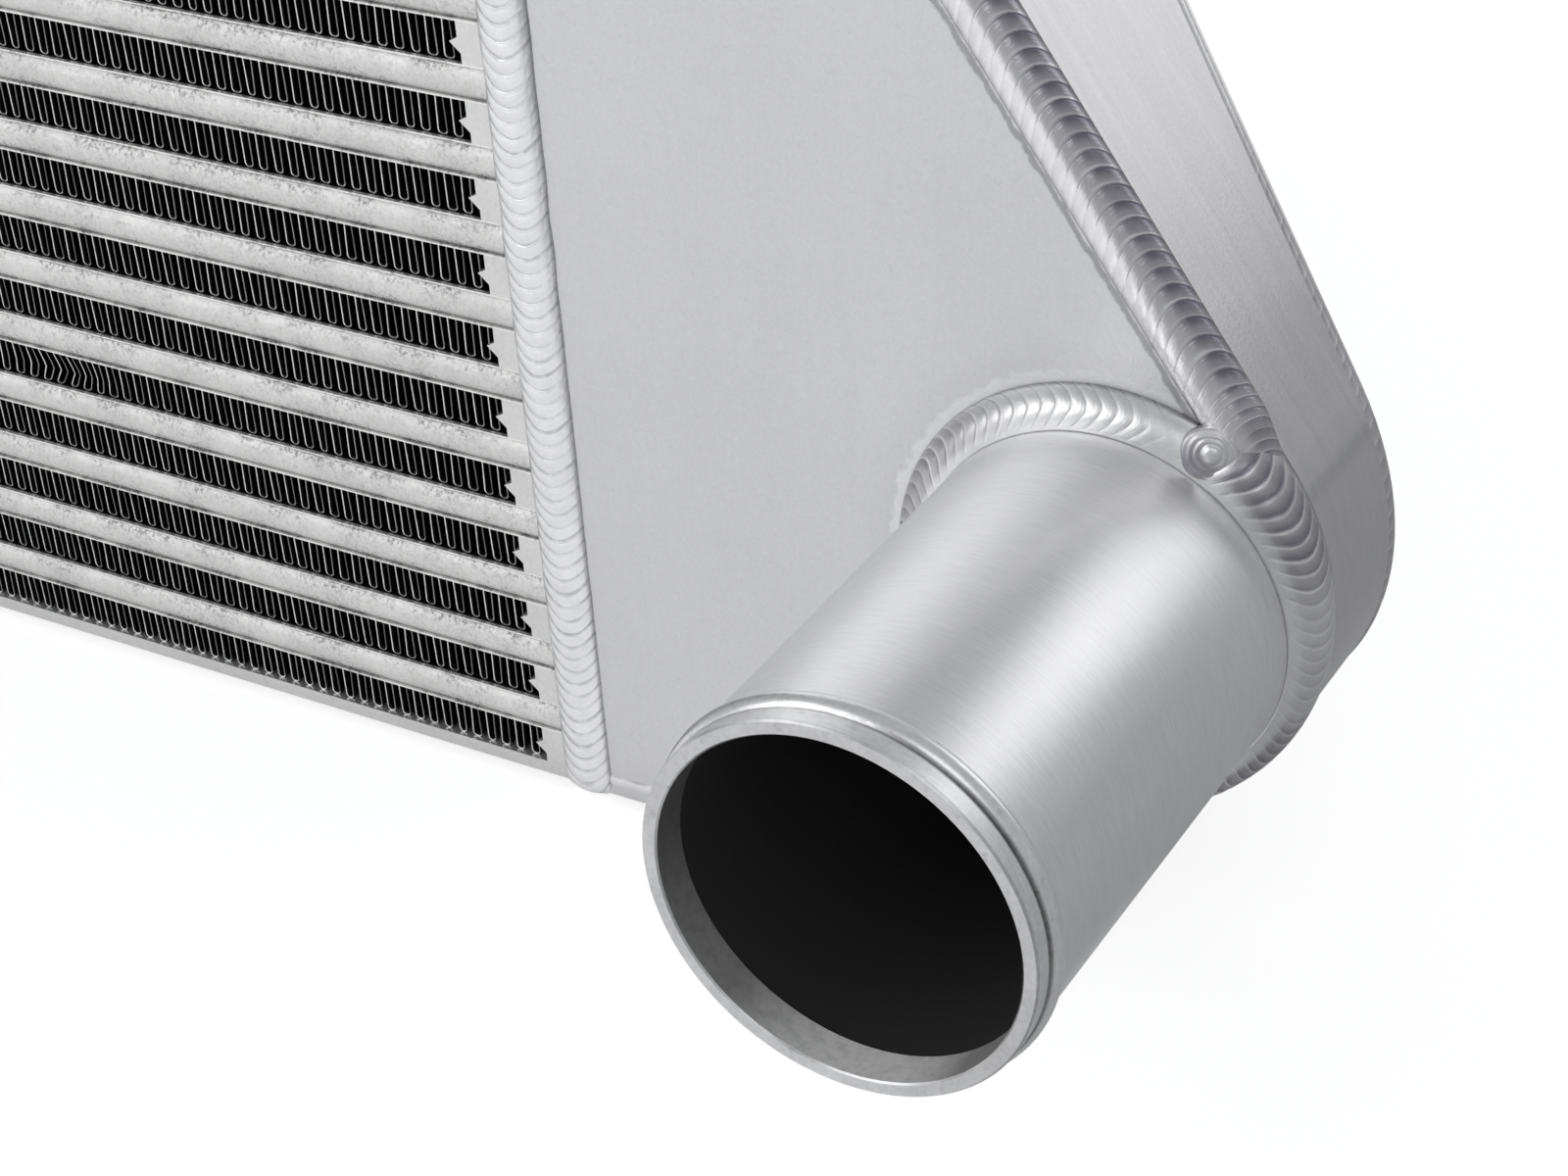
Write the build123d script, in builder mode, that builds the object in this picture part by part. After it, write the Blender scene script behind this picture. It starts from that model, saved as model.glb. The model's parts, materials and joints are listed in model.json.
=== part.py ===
"""Bar-and-plate intercooler with two fabricated end tanks and turned hose ports.

Frame: X runs along the core, the front face looks towards -Y, Z is up.  The origin is the
centre of the bottom of the whole part.  All lengths are in millimetres.
"""
from math import asin, atan, atan2, cos, hypot, sin, tan
import os

from build123d import *

# ---- core -----------------------------------------------------------------------------------
core_length = 560.0          # along X, from one tank joint to the other
core_depth = 98.0            # front bar noses to rear bar noses
fin_rows = 18                # cooling-air layers
fin_height = 8.9             # height of a cooling-air layer
bar_height = 6.8             # height of the bars that close a charge-air passage
parting_sheet = 0.5          # brazed sheet between two layers
side_bar_width = 10.0        # front and rear bar of a passage, along Y
nose_round = 1.4             # how far the nose of a side bar stands out of its root
sheet_setback = 0.6          # edge of a parting sheet behind the bar noses
turbulator_foil = 0.2        # strip inside a passage, brazed between its sheets
turbulator_fold_pitch = 7.8  # one fold and its return; kept coarse, as the cooling fins are
side_plate = 3.2             # top and bottom plate of the core
plate_bevel = 0.8            # weld preparation on the ends of the side plates
plate_bevel_land = 0.1       # flat left beside the toe of the bead

# ---- cooling fins ---------------------------------------------------------------------------
fin_foil = 0.2               # thickness of the folded strip
fin_fold_pitch = 20.0        # one fold and its return; kept coarse, real strips fold every 4 mm
fin_setback = 2.0            # strip edge behind the bar noses
fin_end_gap = 1.0            # between the strip and the end bar

# ---- end bars of the cooling-air layers -----------------------------------------------------
end_bar_width = 12.0
end_bar_nose = 2.0           # ridge at mid height that points at the fins
end_bar_shoulder = 0.5       # the lower half of the bar stands back by this much
nose_rise_share = 0.12       # height of the ridge above its tip, as a share of the layer
nose_fall_share = 0.25       # and below its tip

# ---- end tanks ------------------------------------------------------------------------------
tank_sheet = 3.0             # wall of the welded tank
tank_top_width = 36.0        # flat top, from the core to the sloping outer wall
tank_foot_width = 16.0       # flat bottom beside the core
tank_edge_depth = 36.0       # depth left at the outermost edge, where the rear wall has come in
top_bend = 14.0              # outside radius between top and slope
foot_bend = 20.0             # outside radius between foot and lower wall

# ---- hose ports -----------------------------------------------------------------------------
port_diameter = 76.2
port_wall = 3.0              # wall at the land inside the mouth
port_reach = 108.0           # mouth in front of the core's front face
port_from_core = 127.7       # port axis from the tank joint, along X
port_above_base = 85.0       # port axis above the underside of the core
port_land = 8.0              # length of the land inside the mouth
port_relief = 0.6            # the bore behind the land is this much deeper
port_fit = 0.15              # clearance of the tube in its hole
lip_length = 4.5             # plain lip in front of the hose bead
hose_bead_length = 4.5
hose_bead_height = 1.2
bead_groove = 0.35           # turned groove between lip and bead

# ---- shoulder of the tank around the port ---------------------------------------------------
shoulder_land = 15.3         # outside radius of the shoulder beyond the port's radius
shoulder_shift_x = -10.7     # shoulder centre from the port axis
shoulder_shift_z = 3.0

# ---- weld beads -----------------------------------------------------------------------------
core_weld_width = 12.3
core_weld_crown = 2.5
core_weld_corner = 3.0       # the bead's path rounds the corners of the core by this radius
edge_weld_radius = 5.9       # round section of the bead on the front edge of the tank
edge_weld_inset = 3.4        # its centre inside both faces
rear_weld_radius = 4.4
rear_weld_inset = 2.5
port_weld_leg_sheet = 7.4
port_weld_leg_tube = 5.5
port_weld_bulge = 1.1        # rise of the bead over the straight line between its toes
port_weld_proud = 0.8        # most that it stands out past the folded sheet, where they are close

# ---- sizes that follow ----------------------------------------------------------------------
passage_height = bar_height + 2 * parting_sheet
row_pitch = fin_height + passage_height
core_height = fin_rows * fin_height + (fin_rows - 1) * passage_height + 2 * side_plate
base_z = core_weld_crown
top_z = base_z + core_height
core_end = core_length / 2
front_y = (port_reach - core_depth - core_weld_crown) / 2
rear_y = front_y + core_depth
fin_end = core_end - end_bar_width
plate_face_end = core_end - core_weld_width / 2 - plate_bevel_land

port_radius = port_diameter / 2
port_x = core_end + port_from_core
port_z = base_z + port_above_base
mouth_y = front_y - port_reach
shoulder_radius = port_radius + shoulder_land
shoulder_x = port_x + shoulder_shift_x
shoulder_z = port_z + shoulder_shift_z
tank_end = shoulder_x + shoulder_radius
rear_lean = atan((core_depth - tank_edge_depth) / (tank_end - core_end))
weld_zone = port_radius + port_weld_leg_sheet
past_all = 2 * (core_depth + port_reach)

front_plane = Plane(origin=(0, front_y, 0), x_dir=(1, 0, 0), z_dir=(0, -1, 0))
rear_plane = Plane(
    origin=(core_end, rear_y, 0),
    x_dir=(cos(rear_lean), -sin(rear_lean), 0),
    z_dir=(sin(rear_lean), cos(rear_lean), 0),
)
rear_inner_plane = rear_plane.offset(-tank_sheet)


def tangent_angle(start, side):
    """Direction from a point to the shoulder circle, touching it on one side."""
    run = shoulder_x - start[0]
    rise = shoulder_z - start[1]
    return atan2(rise, run) + side * asin(shoulder_radius / hypot(run, rise))


def shoulder_apex():
    """Where the sloping wall and the lower wall would meet without the shoulder."""
    high = (core_end + tank_top_width, top_z)
    low = (core_end + tank_foot_width, base_z)
    down = tangent_angle(high, 1)
    up = tangent_angle(low, -1)
    run = ((low[1] - high[1]) - (low[0] - high[0]) * tan(up)) / (tan(down) - tan(up))
    return high[0] + run, high[1] + run * tan(down)


def tank_outline(inset=0.0):
    """Face of the tank seen from the front, moved inwards by inset, cut at the joint."""
    with BuildSketch(Plane.XY) as face:
        with BuildLine():
            FilletPolyline(
                (core_end - tank_foot_width, top_z),
                (core_end + tank_top_width, top_z),
                shoulder_apex(),
                (core_end + tank_foot_width, base_z),
                (core_end - tank_foot_width, base_z),
                radius=[top_bend, shoulder_radius, foot_bend],
            )
            Line((core_end - tank_foot_width, base_z), (core_end - tank_foot_width, top_z))
        make_face()
        if inset:
            offset(amount=-inset, kind=Kind.INTERSECTION, mode=Mode.REPLACE)
        with Locations((core_end, base_z + core_height / 2)):
            Rectangle(2 * tank_end, 2 * core_height, align=(Align.MIN, Align.CENTER),
                      mode=Mode.INTERSECT)
    return face.sketch


def plate_face(outer_z, inward):
    """Outer face of a side plate from end to end, with the ends bevelled inwards."""
    bevel_z = outer_z + inward * plate_bevel
    return [
        (-core_end, bevel_z),
        (-plate_face_end, outer_z),
        (plate_face_end, outer_z),
        (core_end, bevel_z),
    ]


def to_side(side):
    """Inside a part block: the left-hand piece is the mirror image of the right-hand one."""
    if side == "left":
        mirror(about=Plane.YZ, mode=Mode.REPLACE)


os.makedirs("parts", exist_ok=True)

# ---- cooling fins: one folded strip for each cooling-air layer ------------------------------
fold_count = int(2 * (fin_end - fin_end_gap) / fin_fold_pitch)
half_fold = (fin_end - fin_end_gap) / fold_count
fold_lean = atan(fin_height / half_fold)
foil_rise = fin_foil / cos(fold_lean)

for row in range(fin_rows):
    row_base = base_z + side_plate + row * row_pitch
    upper_edge = []
    for fold in range(2 * fold_count + 1):
        height = fin_height if fold % 2 else foil_rise
        upper_edge.append((fold * half_fold - fin_end + fin_end_gap, row_base + height))
    lower_edge = [(x, z - foil_rise) for x, z in reversed(upper_edge)]
    with BuildPart() as fin_row:
        with BuildSketch(front_plane.offset(-fin_setback)):
            with BuildLine():
                Polyline(*upper_edge, *lower_edge, close=True)
            make_face()
        extrude(amount=-(core_depth - 2 * fin_setback))
    fin_row.part.label = f"fin_row_{row + 1:02d}"
    export_step(fin_row.part, f"parts/fin_row_{row + 1:02d}.step")

# ---- charge-air passages: two sheets brazed to a front bar, a rear bar and a folded strip ---
nose_root = front_y + nose_round
strip_width = core_depth - 2 * side_bar_width
strip_folds = int(2 * strip_width / turbulator_fold_pitch)
strip_step = strip_width / strip_folds
strip_lean = atan(bar_height / strip_step)
strip_rise = turbulator_foil / cos(strip_lean)
for row in range(fin_rows - 1):
    low = base_z + side_plate + fin_height + row * row_pitch
    bar_low = low + parting_sheet
    bar_high = bar_low + bar_height
    high = low + passage_height
    strip_top = []
    for fold in range(strip_folds + 1):
        crest = bar_high + parting_sheet / 4 if fold % 2 else bar_low - parting_sheet / 4
        strip_top.append((front_y + side_bar_width + fold * strip_step, crest + strip_rise / 2))
    strip_bottom = [(y, z - strip_rise) for y, z in reversed(strip_top)]
    with BuildPart() as passage:
        with BuildSketch(Plane.YZ.offset(-core_end)):
            with BuildLine() as half_section:
                Line((front_y + core_depth / 2, low), (front_y + sheet_setback, low))
                Line((front_y + sheet_setback, low), (front_y + sheet_setback, bar_low))
                Line((front_y + sheet_setback, bar_low), (nose_root, bar_low))
                ThreePointArc(
                    (nose_root, bar_low),
                    (front_y, (bar_low + bar_high) / 2),
                    (nose_root, bar_high),
                )
                Line((nose_root, bar_high), (front_y + sheet_setback, bar_high))
                Line((front_y + sheet_setback, bar_high), (front_y + sheet_setback, high))
                Line((front_y + sheet_setback, high), (front_y + core_depth / 2, high))
                Line((front_y + core_depth / 2, high), (front_y + core_depth / 2, low))
            make_face()
            mirror(about=Plane.YZ.offset(front_y + core_depth / 2))
            with Locations((front_y + core_depth / 2, (low + high) / 2)):
                Rectangle(strip_width, bar_height, mode=Mode.SUBTRACT)
            with BuildLine():
                Polyline(*strip_top, *strip_bottom, close=True)
            make_face()
        extrude(amount=core_length)
    passage.part.label = f"charge_passage_{row + 1:02d}"
    export_step(passage.part, f"parts/charge_passage_{row + 1:02d}.step")

# ---- end bars: one across each end of a cooling-air layer ----------------------------------
for side in ("right", "left"):
    with BuildPart() as end_bars:
        for row in range(fin_rows):
            low = base_z + side_plate + row * row_pitch
            middle = low + fin_height / 2
            high = low + fin_height
            with BuildSketch(front_plane.offset(-sheet_setback)):
                with BuildLine():
                    Polyline(
                        (core_end, low),
                        (core_end, high),
                        (fin_end, high),
                        (fin_end, middle + nose_rise_share * fin_height),
                        (fin_end - end_bar_nose, middle),
                        (fin_end + end_bar_shoulder, middle - nose_fall_share * fin_height),
                        (fin_end + end_bar_shoulder, low),
                        close=True,
                    )
                make_face()
            extrude(amount=-(core_depth - 2 * sheet_setback))
        to_side(side)
    end_bars.part.label = f"end_bars_{side}"
    export_step(end_bars.part, f"parts/end_bars_{side}.step")

# ---- side plates that close the core below and above ----------------------------------------
for name, outer_z, inward in (("bottom", base_z, 1), ("top", top_z, -1)):
    inner_z = outer_z + inward * side_plate
    with BuildPart() as plate:
        with BuildSketch(front_plane.offset(-sheet_setback)):
            with BuildLine():
                Polyline(
                    *plate_face(outer_z, inward),
                    (core_end, inner_z),
                    (-core_end, inner_z),
                    close=True,
                )
            make_face()
        extrude(amount=-(core_depth - 2 * sheet_setback))
    plate.part.label = f"side_plate_{name}"
    export_step(plate.part, f"parts/side_plate_{name}.step")

# ---- outer shapes of core and tank, which the weld beads lie on -----------------------------
with BuildPart() as core_block:
    with BuildSketch(front_plane):
        with BuildLine():
            Polyline(*plate_face(base_z, 1), *reversed(plate_face(top_z, -1)), close=True)
        make_face()
    extrude(amount=-core_depth)

with BuildPart() as tank_block:
    with BuildSketch(front_plane):
        add(tank_outline())
    extrude(amount=-past_all)
    split(bisect_by=rear_plane, keep=Keep.BOTTOM)

with BuildPart() as port_bar:
    with BuildSketch(front_plane.offset(port_reach)):
        with Locations((port_x, port_z)):
            Circle(port_radius)
    extrude(amount=-past_all)

# ---- rods that the beads on the tank's two edges are cut from -------------------------------
def open_path(face):
    """Outline of a tank face without its side at the core joint."""
    return Wire(face.outer_wire().edges().sort_by(Axis.X)[1:])


front_edge_plane = front_plane.offset(-edge_weld_inset)
front_edge_path = open_path((front_edge_plane * tank_outline(edge_weld_inset)).face())
with BuildPart() as front_edge_rod:
    with BuildSketch(Plane(origin=front_edge_path @ 0, z_dir=front_edge_path % 0)):
        Circle(edge_weld_radius)
    sweep(path=front_edge_path)

with BuildPart() as rear_edge_guide:
    with BuildSketch(front_plane):
        add(tank_outline(rear_weld_inset))
    extrude(amount=-past_all)
    split(bisect_by=rear_plane.offset(-rear_weld_inset), keep=Keep.BOTTOM)
rear_edge_path = open_path(rear_edge_guide.faces().sort_by(Axis.Y)[-1])
with BuildPart() as rear_edge_rod:
    with BuildSketch(Plane(origin=rear_edge_path @ 0, z_dir=rear_edge_path % 0)):
        Circle(rear_weld_radius)
    sweep(path=rear_edge_path)

with BuildPart() as core_weld_rod:
    half = core_weld_width / 2
    with BuildLine(Plane.YZ.offset(core_end)) as joint_path:
        FilletPolyline(
            (front_y + core_depth / 2, base_z),
            (front_y, base_z),
            (front_y, top_z),
            (front_y + core_depth / 2, top_z),
            radius=core_weld_corner,
        )
    joint_start = Plane(origin=joint_path.wire() @ 0, x_dir=(1, 0, 0), z_dir=joint_path.wire() % 0)
    with BuildSketch(joint_start):
        with BuildLine():
            ThreePointArc((-half, 0), (0, core_weld_crown), (half, 0))
            ThreePointArc((half, 0), (0, -core_weld_crown), (-half, 0))
        make_face()
    sweep(path=joint_path.wire())
    mirror(about=Plane.XZ.offset(-(front_y + core_depth / 2)))

# ---- end tanks ------------------------------------------------------------------------------
for side in ("right", "left"):
    with BuildPart() as tank_front:
        with BuildSketch(front_plane):
            add(tank_outline())
            with Locations((port_x, port_z)):
                Circle(port_radius + port_fit, mode=Mode.SUBTRACT)
        extrude(amount=-tank_sheet)
        to_side(side)
    tank_front.part.label = f"tank_front_{side}"
    export_step(tank_front.part, f"parts/tank_front_{side}.step")

    with BuildPart() as tank_rear:
        with BuildSketch(front_plane):
            add(tank_outline(tank_sheet))
        extrude(amount=-past_all)
        split(bisect_by=rear_plane, keep=Keep.BOTTOM)
        split(bisect_by=rear_inner_plane, keep=Keep.TOP)
        to_side(side)
    tank_rear.part.label = f"tank_rear_{side}"
    export_step(tank_rear.part, f"parts/tank_rear_{side}.step")

    with BuildPart() as tank_wrap:
        with BuildSketch(front_plane.offset(-tank_sheet)):
            add(tank_outline())
            add(tank_outline(tank_sheet), mode=Mode.SUBTRACT)
        extrude(amount=-past_all)
        split(bisect_by=rear_plane, keep=Keep.BOTTOM)
        to_side(side)
    tank_wrap.part.label = f"tank_wrap_{side}"
    export_step(tank_wrap.part, f"parts/tank_wrap_{side}.step")

    # turned tube: mouth land, relieved bore, lip, groove and hose bead
    bead_front = mouth_y + lip_length
    bead_back = bead_front + hose_bead_length
    inner = port_radius - port_wall
    relieved = inner + port_relief
    with BuildPart() as port_tube:
        with BuildSketch(Plane(origin=(port_x, 0, port_z), x_dir=(1, 0, 0), z_dir=(0, 0, 1))):
            with BuildLine():
                Polyline(
                    (port_radius - bead_groove, bead_front),
                    (port_radius, bead_front - bead_groove),
                    (port_radius, mouth_y + bead_groove),
                    (port_radius - bead_groove, mouth_y),
                    (inner + bead_groove, mouth_y),
                    (inner, mouth_y + bead_groove),
                    (inner, mouth_y + port_land),
                    (relieved, mouth_y + port_land + port_relief),
                    (relieved, front_y + tank_sheet),
                    (port_radius, front_y + tank_sheet),
                    (port_radius, bead_back),
                )
                ThreePointArc(
                    (port_radius, bead_back),
                    (port_radius + hose_bead_height, (bead_front + bead_back) / 2),
                    (port_radius - bead_groove, bead_front),
                )
            make_face()
        revolve(axis=Axis((port_x, 0, port_z), (0, 1, 0)))
        to_side(side)
    port_tube.part.label = f"port_tube_{side}"
    export_step(port_tube.part, f"parts/port_tube_{side}.step")

    with BuildPart() as core_weld:
        add(core_weld_rod.part)
        add(core_block.part, mode=Mode.SUBTRACT)
        add(tank_block.part, mode=Mode.SUBTRACT)
        to_side(side)
    core_weld.part.label = f"core_weld_{side}"
    export_step(core_weld.part, f"parts/core_weld_{side}.step")

    with BuildPart() as front_edge_weld:
        add(front_edge_rod.part)
        add(tank_block.part, mode=Mode.SUBTRACT)
        split(bisect_by=Plane.YZ.offset(core_end + core_weld_width / 2), keep=Keep.TOP)
        with BuildSketch(front_plane.offset(port_reach)):
            with Locations((port_x, port_z)):
                Circle(weld_zone)
        extrude(amount=-past_all, mode=Mode.SUBTRACT)
        to_side(side)
    front_edge_weld.part.label = f"front_edge_weld_{side}"
    export_step(front_edge_weld.part, f"parts/front_edge_weld_{side}.step")

    with BuildPart() as rear_edge_weld:
        add(rear_edge_rod.part)
        add(tank_block.part, mode=Mode.SUBTRACT)
        split(bisect_by=Plane.YZ.offset(core_end + core_weld_width / 2), keep=Keep.TOP)
        to_side(side)
    rear_edge_weld.part.label = f"rear_edge_weld_{side}"
    export_step(rear_edge_weld.part, f"parts/rear_edge_weld_{side}.step")

    # fillet around the tube, run together with the edge bead where the shoulder passes close
    toe_sheet = (port_radius + port_weld_leg_sheet, front_y)
    toe_tube = (port_radius, front_y - port_weld_leg_tube)
    legs = hypot(port_weld_leg_sheet, port_weld_leg_tube)
    crest = (
        (toe_sheet[0] + toe_tube[0]) / 2 + port_weld_bulge * port_weld_leg_tube / legs,
        (toe_sheet[1] + toe_tube[1]) / 2 - port_weld_bulge * port_weld_leg_sheet / legs,
    )
    with BuildPart() as port_weld:
        add(front_edge_rod.part)
        with BuildSketch(front_plane.offset(port_reach)):
            with Locations((port_x, port_z)):
                Circle(weld_zone)
        extrude(amount=-past_all, mode=Mode.INTERSECT)
        with BuildSketch(Plane(origin=(port_x, 0, port_z), x_dir=(1, 0, 0), z_dir=(0, 0, 1))):
            with BuildLine():
                Polyline(toe_tube, (port_radius, front_y), toe_sheet)
                ThreePointArc(toe_sheet, crest, toe_tube)
            make_face()
        revolve(axis=Axis((port_x, 0, port_z), (0, 1, 0)))
        add(tank_block.part, mode=Mode.SUBTRACT)
        add(port_bar.part, mode=Mode.SUBTRACT)
        with BuildSketch(front_plane.offset(port_reach)):
            add(tank_outline(-port_weld_proud))
        extrude(amount=-past_all, mode=Mode.INTERSECT)
        to_side(side)
    port_weld.part.label = f"port_weld_{side}"
    export_step(port_weld.part, f"parts/port_weld_{side}.step")
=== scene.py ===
"""Studio scene of a bar-and-plate intercooler: folded fins, rippled weld beads, turned ports, finishes."""
import bmesh
import bpy
import json
import math
import random
from mathutils import Matrix, Vector, noise

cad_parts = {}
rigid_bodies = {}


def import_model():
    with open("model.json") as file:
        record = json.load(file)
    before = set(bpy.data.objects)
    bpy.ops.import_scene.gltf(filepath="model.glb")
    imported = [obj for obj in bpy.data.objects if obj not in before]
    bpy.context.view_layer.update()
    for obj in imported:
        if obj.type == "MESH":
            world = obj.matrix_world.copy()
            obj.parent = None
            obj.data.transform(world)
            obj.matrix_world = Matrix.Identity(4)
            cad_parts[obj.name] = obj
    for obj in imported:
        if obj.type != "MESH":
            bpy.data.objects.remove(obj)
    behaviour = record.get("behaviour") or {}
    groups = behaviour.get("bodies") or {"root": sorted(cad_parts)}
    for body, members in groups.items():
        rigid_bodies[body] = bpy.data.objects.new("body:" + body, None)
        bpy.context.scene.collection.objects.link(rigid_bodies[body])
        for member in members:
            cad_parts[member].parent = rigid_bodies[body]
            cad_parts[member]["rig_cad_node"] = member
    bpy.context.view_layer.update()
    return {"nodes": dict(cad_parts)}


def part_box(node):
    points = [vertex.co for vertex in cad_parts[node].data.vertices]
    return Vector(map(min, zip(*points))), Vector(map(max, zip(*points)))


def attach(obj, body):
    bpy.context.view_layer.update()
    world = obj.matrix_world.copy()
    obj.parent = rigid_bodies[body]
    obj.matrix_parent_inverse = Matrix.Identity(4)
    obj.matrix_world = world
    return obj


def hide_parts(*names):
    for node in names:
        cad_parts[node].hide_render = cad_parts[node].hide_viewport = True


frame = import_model()

# ---- sizes of the real object, in millimetres --------------------------------------------------
MM = 0.001

# core: half its length, its faces, and the stack of fin rows and charge-air passages
CORE_END = 280.0
FRONT_Y = 3.75
REAR_Y = 101.75
BASE_Z = 2.5
TOP_Z = 301.7
SIDE_PLATE = 3.2
FIN_ROWS = 18
FIN_HEIGHT = 8.9
PASSAGE_HEIGHT = 7.8
SHEET_EDGE = 0.5
ROW_PITCH = FIN_HEIGHT + PASSAGE_HEIGHT

# port: axis, radii, and the places of its mouth, of the land inside it and of the groove round it
PORT_X = 407.7
PORT_Z = 87.5
PORT_RADIUS = 38.1
PORT_BORE = 35.1
MOUTH_Y = -104.25
LAND_Y = -96.3
GROOVE_Y = -99.9

# tank: shoulder as (x, z, radius), flats beside the core, bends, and its depth at the outer end
SHOULDER = (PORT_X - 10.7, PORT_Z + 3.0, PORT_RADIUS + 15.3)
TANK_TOP = 36.0
TANK_FOOT = 16.0
TOP_BEND = 14.0
FOOT_BEND = 20.0
TANK_EDGE_DEPTH = 36.0
REAR_LEAN = math.atan((REAR_Y - FRONT_Y - TANK_EDGE_DEPTH) / (SHOULDER[0] + SHOULDER[2] - CORE_END))


def tangent_angle(start, side):
    """Angle of the line from a point that touches the shoulder's round."""
    run, rise = SHOULDER[0] - start[0], SHOULDER[1] - start[1]
    return math.atan2(rise, run) + side * math.asin(SHOULDER[2] / math.hypot(run, rise))


# ways in which the long sloping wall and the foot face, and the long wall's distance from the port's axis
SLOPE = tangent_angle((CORE_END + TANK_TOP, TOP_Z), 1) + math.pi / 2
FOOT_SLOPE = tangent_angle((CORE_END + TANK_FOOT, BASE_Z), -1) - math.pi / 2
SLOPE_REACH = ((SHOULDER[0] - PORT_X) * math.cos(SLOPE) + (SHOULDER[1] - PORT_Z) * math.sin(SLOPE)
               + SHOULDER[2])


# ---- small helpers -----------------------------------------------------------------------------
def ease(low, high, value):
    """0 at low and 1 at high, with a soft rise between them and level beyond."""
    share = min(1.0, max(0.0, (value - low) / (high - low)))
    return share * share * (3 - 2 * share)


def mesh_piece(name, verts, faces, smooth=True):
    """A mesh object from points in millimetres."""
    mesh = bpy.data.meshes.new(name)
    mesh.from_pydata([(x * MM, y * MM, z * MM) for x, y, z in verts], [], faces)
    mesh.validate()
    mesh.update()
    if smooth:
        mesh.shade_smooth()
    piece = bpy.data.objects.new(name, mesh)
    bpy.context.scene.collection.objects.link(piece)
    return piece


def paint(piece, name, values):
    """Keep one number for each point of a piece, for its material to read."""
    layer = piece.data.attributes.new(name, "FLOAT", "POINT")
    layer.data.foreach_set("value", values)


def finish_piece(piece, material, slot, *nodes):
    """Give a new piece its material and let it stand for its CAD nodes."""
    piece.data.materials.append(material)
    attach(piece, "root")
    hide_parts(*nodes)


# ---- material building -------------------------------------------------------------------------
class Nodes:
    """Short way to add nodes to a tree and join their sockets."""

    def __init__(self, tree):
        self.tree = tree

    def add(self, kind, **values):
        node = self.tree.nodes.new(kind)
        for key, value in values.items():
            setattr(node, key, value)
        return node

    def join(self, a, b):
        self.tree.links.new(a, b)

    def feed(self, value, socket):
        """Give a socket a plain number, or the output of another node."""
        if isinstance(value, (int, float)):
            socket.default_value = value
        else:
            self.join(value, socket)

    def math(self, operation, a, b=None, clamp=False):
        node = self.add("ShaderNodeMath", operation=operation, use_clamp=clamp)
        self.feed(a, node.inputs[0])
        if b is not None:
            self.feed(b, node.inputs[1])
        return node.outputs[0]

    def remap(self, value, low, high, out_low=0.0, out_high=1.0):
        node = self.add("ShaderNodeMapRange", interpolation_type="SMOOTHSTEP")
        self.join(value, node.inputs["Value"])
        node.inputs["From Min"].default_value = low
        node.inputs["From Max"].default_value = high
        node.inputs["To Min"].default_value = out_low
        node.inputs["To Max"].default_value = out_high
        return node.outputs["Result"]

    def noise(self, vector, scale, detail, roughness=0.5):
        node = self.add("ShaderNodeTexNoise")
        self.join(vector, node.inputs["Vector"])
        self.feed(scale, node.inputs["Scale"])
        node.inputs["Detail"].default_value = detail
        node.inputs["Roughness"].default_value = roughness
        return node.outputs["Fac"]

    def split(self, vector):
        """The X, Y and Z of a vector."""
        node = self.add("ShaderNodeSeparateXYZ")
        self.join(vector, node.inputs[0])
        return node.outputs["X"], node.outputs["Y"], node.outputs["Z"]

    def toned(self, colour, tone):
        """A plain colour made lighter or darker by a tone."""
        node = self.add("ShaderNodeVectorMath", operation="SCALE")
        node.inputs[0].default_value = colour
        self.join(tone, node.inputs["Scale"])
        return node.outputs[0]

    def relief(self, height, strength, distance, normal=None):
        """The normal of a surface raised by a height."""
        node = self.add("ShaderNodeBump")
        node.inputs["Strength"].default_value = strength
        node.inputs["Distance"].default_value = distance
        self.join(height, node.inputs["Height"])
        if normal is not None:
            self.join(normal, node.inputs["Normal"])
        return node.outputs["Normal"]

    def mix_colour(self, fac, a, b):
        node = self.add("ShaderNodeMix", data_type="RGBA")
        self.join(fac, node.inputs[0])
        for socket, value in ((node.inputs[6], a), (node.inputs[7], b)):
            if isinstance(value, tuple):
                socket.default_value = (*value, 1.0)
            else:
                self.join(value, socket)
        return node.outputs[2]


def new_group(name, inputs, outputs):
    """An empty shader node group with named inputs and outputs."""
    tree = bpy.data.node_groups.new(name, "ShaderNodeTree")
    for label, kind, value in inputs:
        socket = tree.interface.new_socket(label, in_out="INPUT", socket_type=kind)
        if value is not None:
            socket.default_value = value
    for label, kind in outputs:
        tree.interface.new_socket(label, in_out="OUTPUT", socket_type=kind)
    n = Nodes(tree)
    return tree, n, n.add("NodeGroupInput"), n.add("NodeGroupOutput")


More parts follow.
